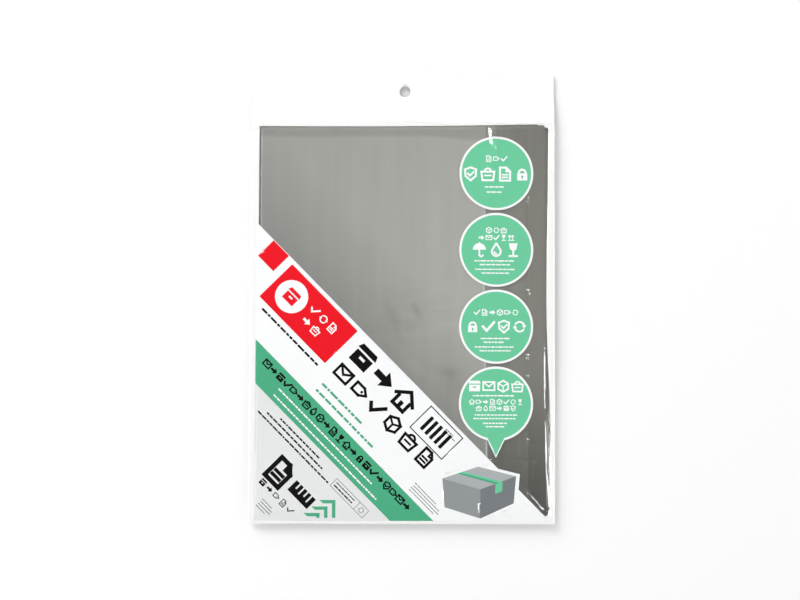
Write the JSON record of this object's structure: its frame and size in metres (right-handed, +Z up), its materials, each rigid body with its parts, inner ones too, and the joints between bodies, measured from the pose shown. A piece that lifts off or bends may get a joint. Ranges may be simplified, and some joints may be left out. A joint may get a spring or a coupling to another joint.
{
  "type": "poly mailer bag pack",
  "caption": "Flat see-through hang pouch of printed film with a white header and round hole, holding grey poly mailer bags folded in half with pockets, flaps and release liners.",
  "frame": {"origin": "middle of the pack's outline, on the plane that its back lies on", "axes": "+X to the right and +Y up towards the header as the front is read, +Z up through the thickness, out of the printed front"},
  "size_m": [0.257, 0.382, 0.0044],
  "materials": {
    "clear_film": "clear glossy printed film",
    "grey_film": "satin grey film",
    "glue": "tacky hot melt strip",
    "liner": "smooth release film",
    "tape": "clear adhesive tape"
  },
  "bodies": {
    "root": {"film_pouch": "clear_film", "closure_tape": "tape", "mailer_1": "grey_film", "glue_strip_1": "glue", "release_liner_1": "liner", "mailer_2": "grey_film", "glue_strip_2": "glue", "release_liner_2": "liner", "mailer_3": "grey_film", "glue_strip_3": "glue", "release_liner_3": "liner", "mailer_4": "grey_film", "glue_strip_4": "glue", "release_liner_4": "liner", "mailer_5": "grey_film", "glue_strip_5": "glue", "release_liner_5": "liner"}
  },
  "joints": []
}
